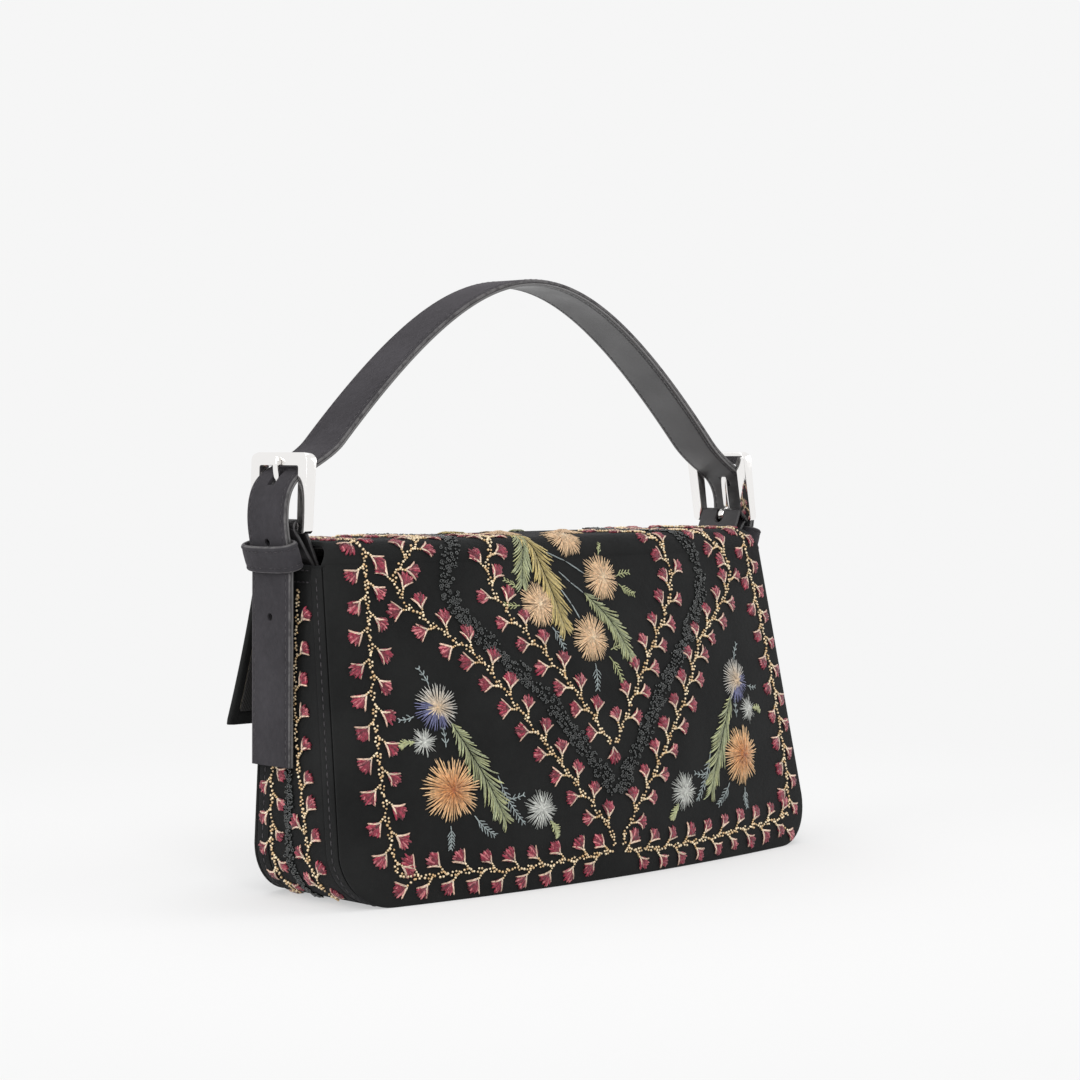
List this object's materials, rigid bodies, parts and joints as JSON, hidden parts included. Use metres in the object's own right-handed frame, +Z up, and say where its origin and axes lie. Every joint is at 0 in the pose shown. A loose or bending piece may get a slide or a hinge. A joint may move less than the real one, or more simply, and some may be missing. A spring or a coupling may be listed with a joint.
{
  "type": "baguette bag",
  "caption": "Small suede baguette bag: swelling panels on a gusset, a fold-over flap with a magnetic snap, and a short strap on buckles with prongs and keepers.",
  "frame": {"origin": "middle of the flat bottom, on the surface that the bag stands on", "axes": "+X along the bag's length, to the right as the needlework back is seen; -Y out of the needlework back; +Y the flap side; +Z up"},
  "size_m": [0.2728, 0.0959, 0.242],
  "materials": {
    "suede": "near-black suede, covered in beaded and stitched needlework on the back, shoulder and flap",
    "suede_trim": "charcoal suede with edge stitching",
    "smooth_leather": "smooth charcoal leather, satin",
    "lining": "dark plain cloth",
    "board": "stiff board, hidden between the layers",
    "chrome": "polished",
    "snap_metal": "satin nickel"
  },
  "bodies": {
    "bag": {"back_panel": "suede", "front_panel": "suede", "gusset": "suede", "back_seam_strip": "suede_trim", "front_seam_strip": "suede_trim", "back_lining": "lining", "front_lining": "lining", "gusset_lining": "lining", "base_board": "board", "snap_socket": "snap_metal", "left_tab": "smooth_leather", "right_tab": "smooth_leather", "left_keeper": "smooth_leather", "right_keeper": "smooth_leather", "left_buckle": "chrome", "right_buckle": "chrome", "left_strap_suede": "suede_trim", "right_strap_suede": "suede_trim", "left_strap_leather": "smooth_leather", "right_strap_leather": "smooth_leather"},
    "flap_shoulder": {"flap_top": "suede", "flap_top_lining": "lining"},
    "flap_hanging": {"flap_front": "suede", "flap_board": "board", "flap_front_lining": "lining", "snap_stud": "snap_metal"},
    "handle": {"handle_suede": "suede_trim", "handle_leather": "smooth_leather"},
    "left_prong": {"left_prong": "chrome"},
    "right_prong": {"right_prong": "chrome"}
  },
  "joints": [
    {"name": "flap_lift", "type": "hinge", "parent": "bag", "child": "flap_shoulder", "pos_m": [0, -0.01961, 0.1283], "axis": [1, 0, 0], "range_deg": [0, 18]},
    {"name": "flap_fold", "type": "hinge", "parent": "flap_shoulder", "child": "flap_hanging", "pos_m": [0, 0.034, 0.137], "axis": [1, 0, 0], "range_deg": [0, 90]},
    {"name": "handle_tilt", "type": "hinge", "parent": "bag", "child": "handle", "pos_m": [0, 0.0172, 0.1688], "axis": [1, 0, 0], "range_deg": [0, 80]},
    {"name": "left_prong_play", "type": "hinge", "parent": "bag", "child": "left_prong", "pos_m": [-0.1255, 0.0172, 0.1426], "axis": [0, -1, 0], "range_deg": [0, 5]},
    {"name": "right_prong_play", "type": "hinge", "parent": "bag", "child": "right_prong", "pos_m": [0.1255, 0.0172, 0.1426], "axis": [0, 1, 0], "range_deg": [0, 5]}
  ]
}
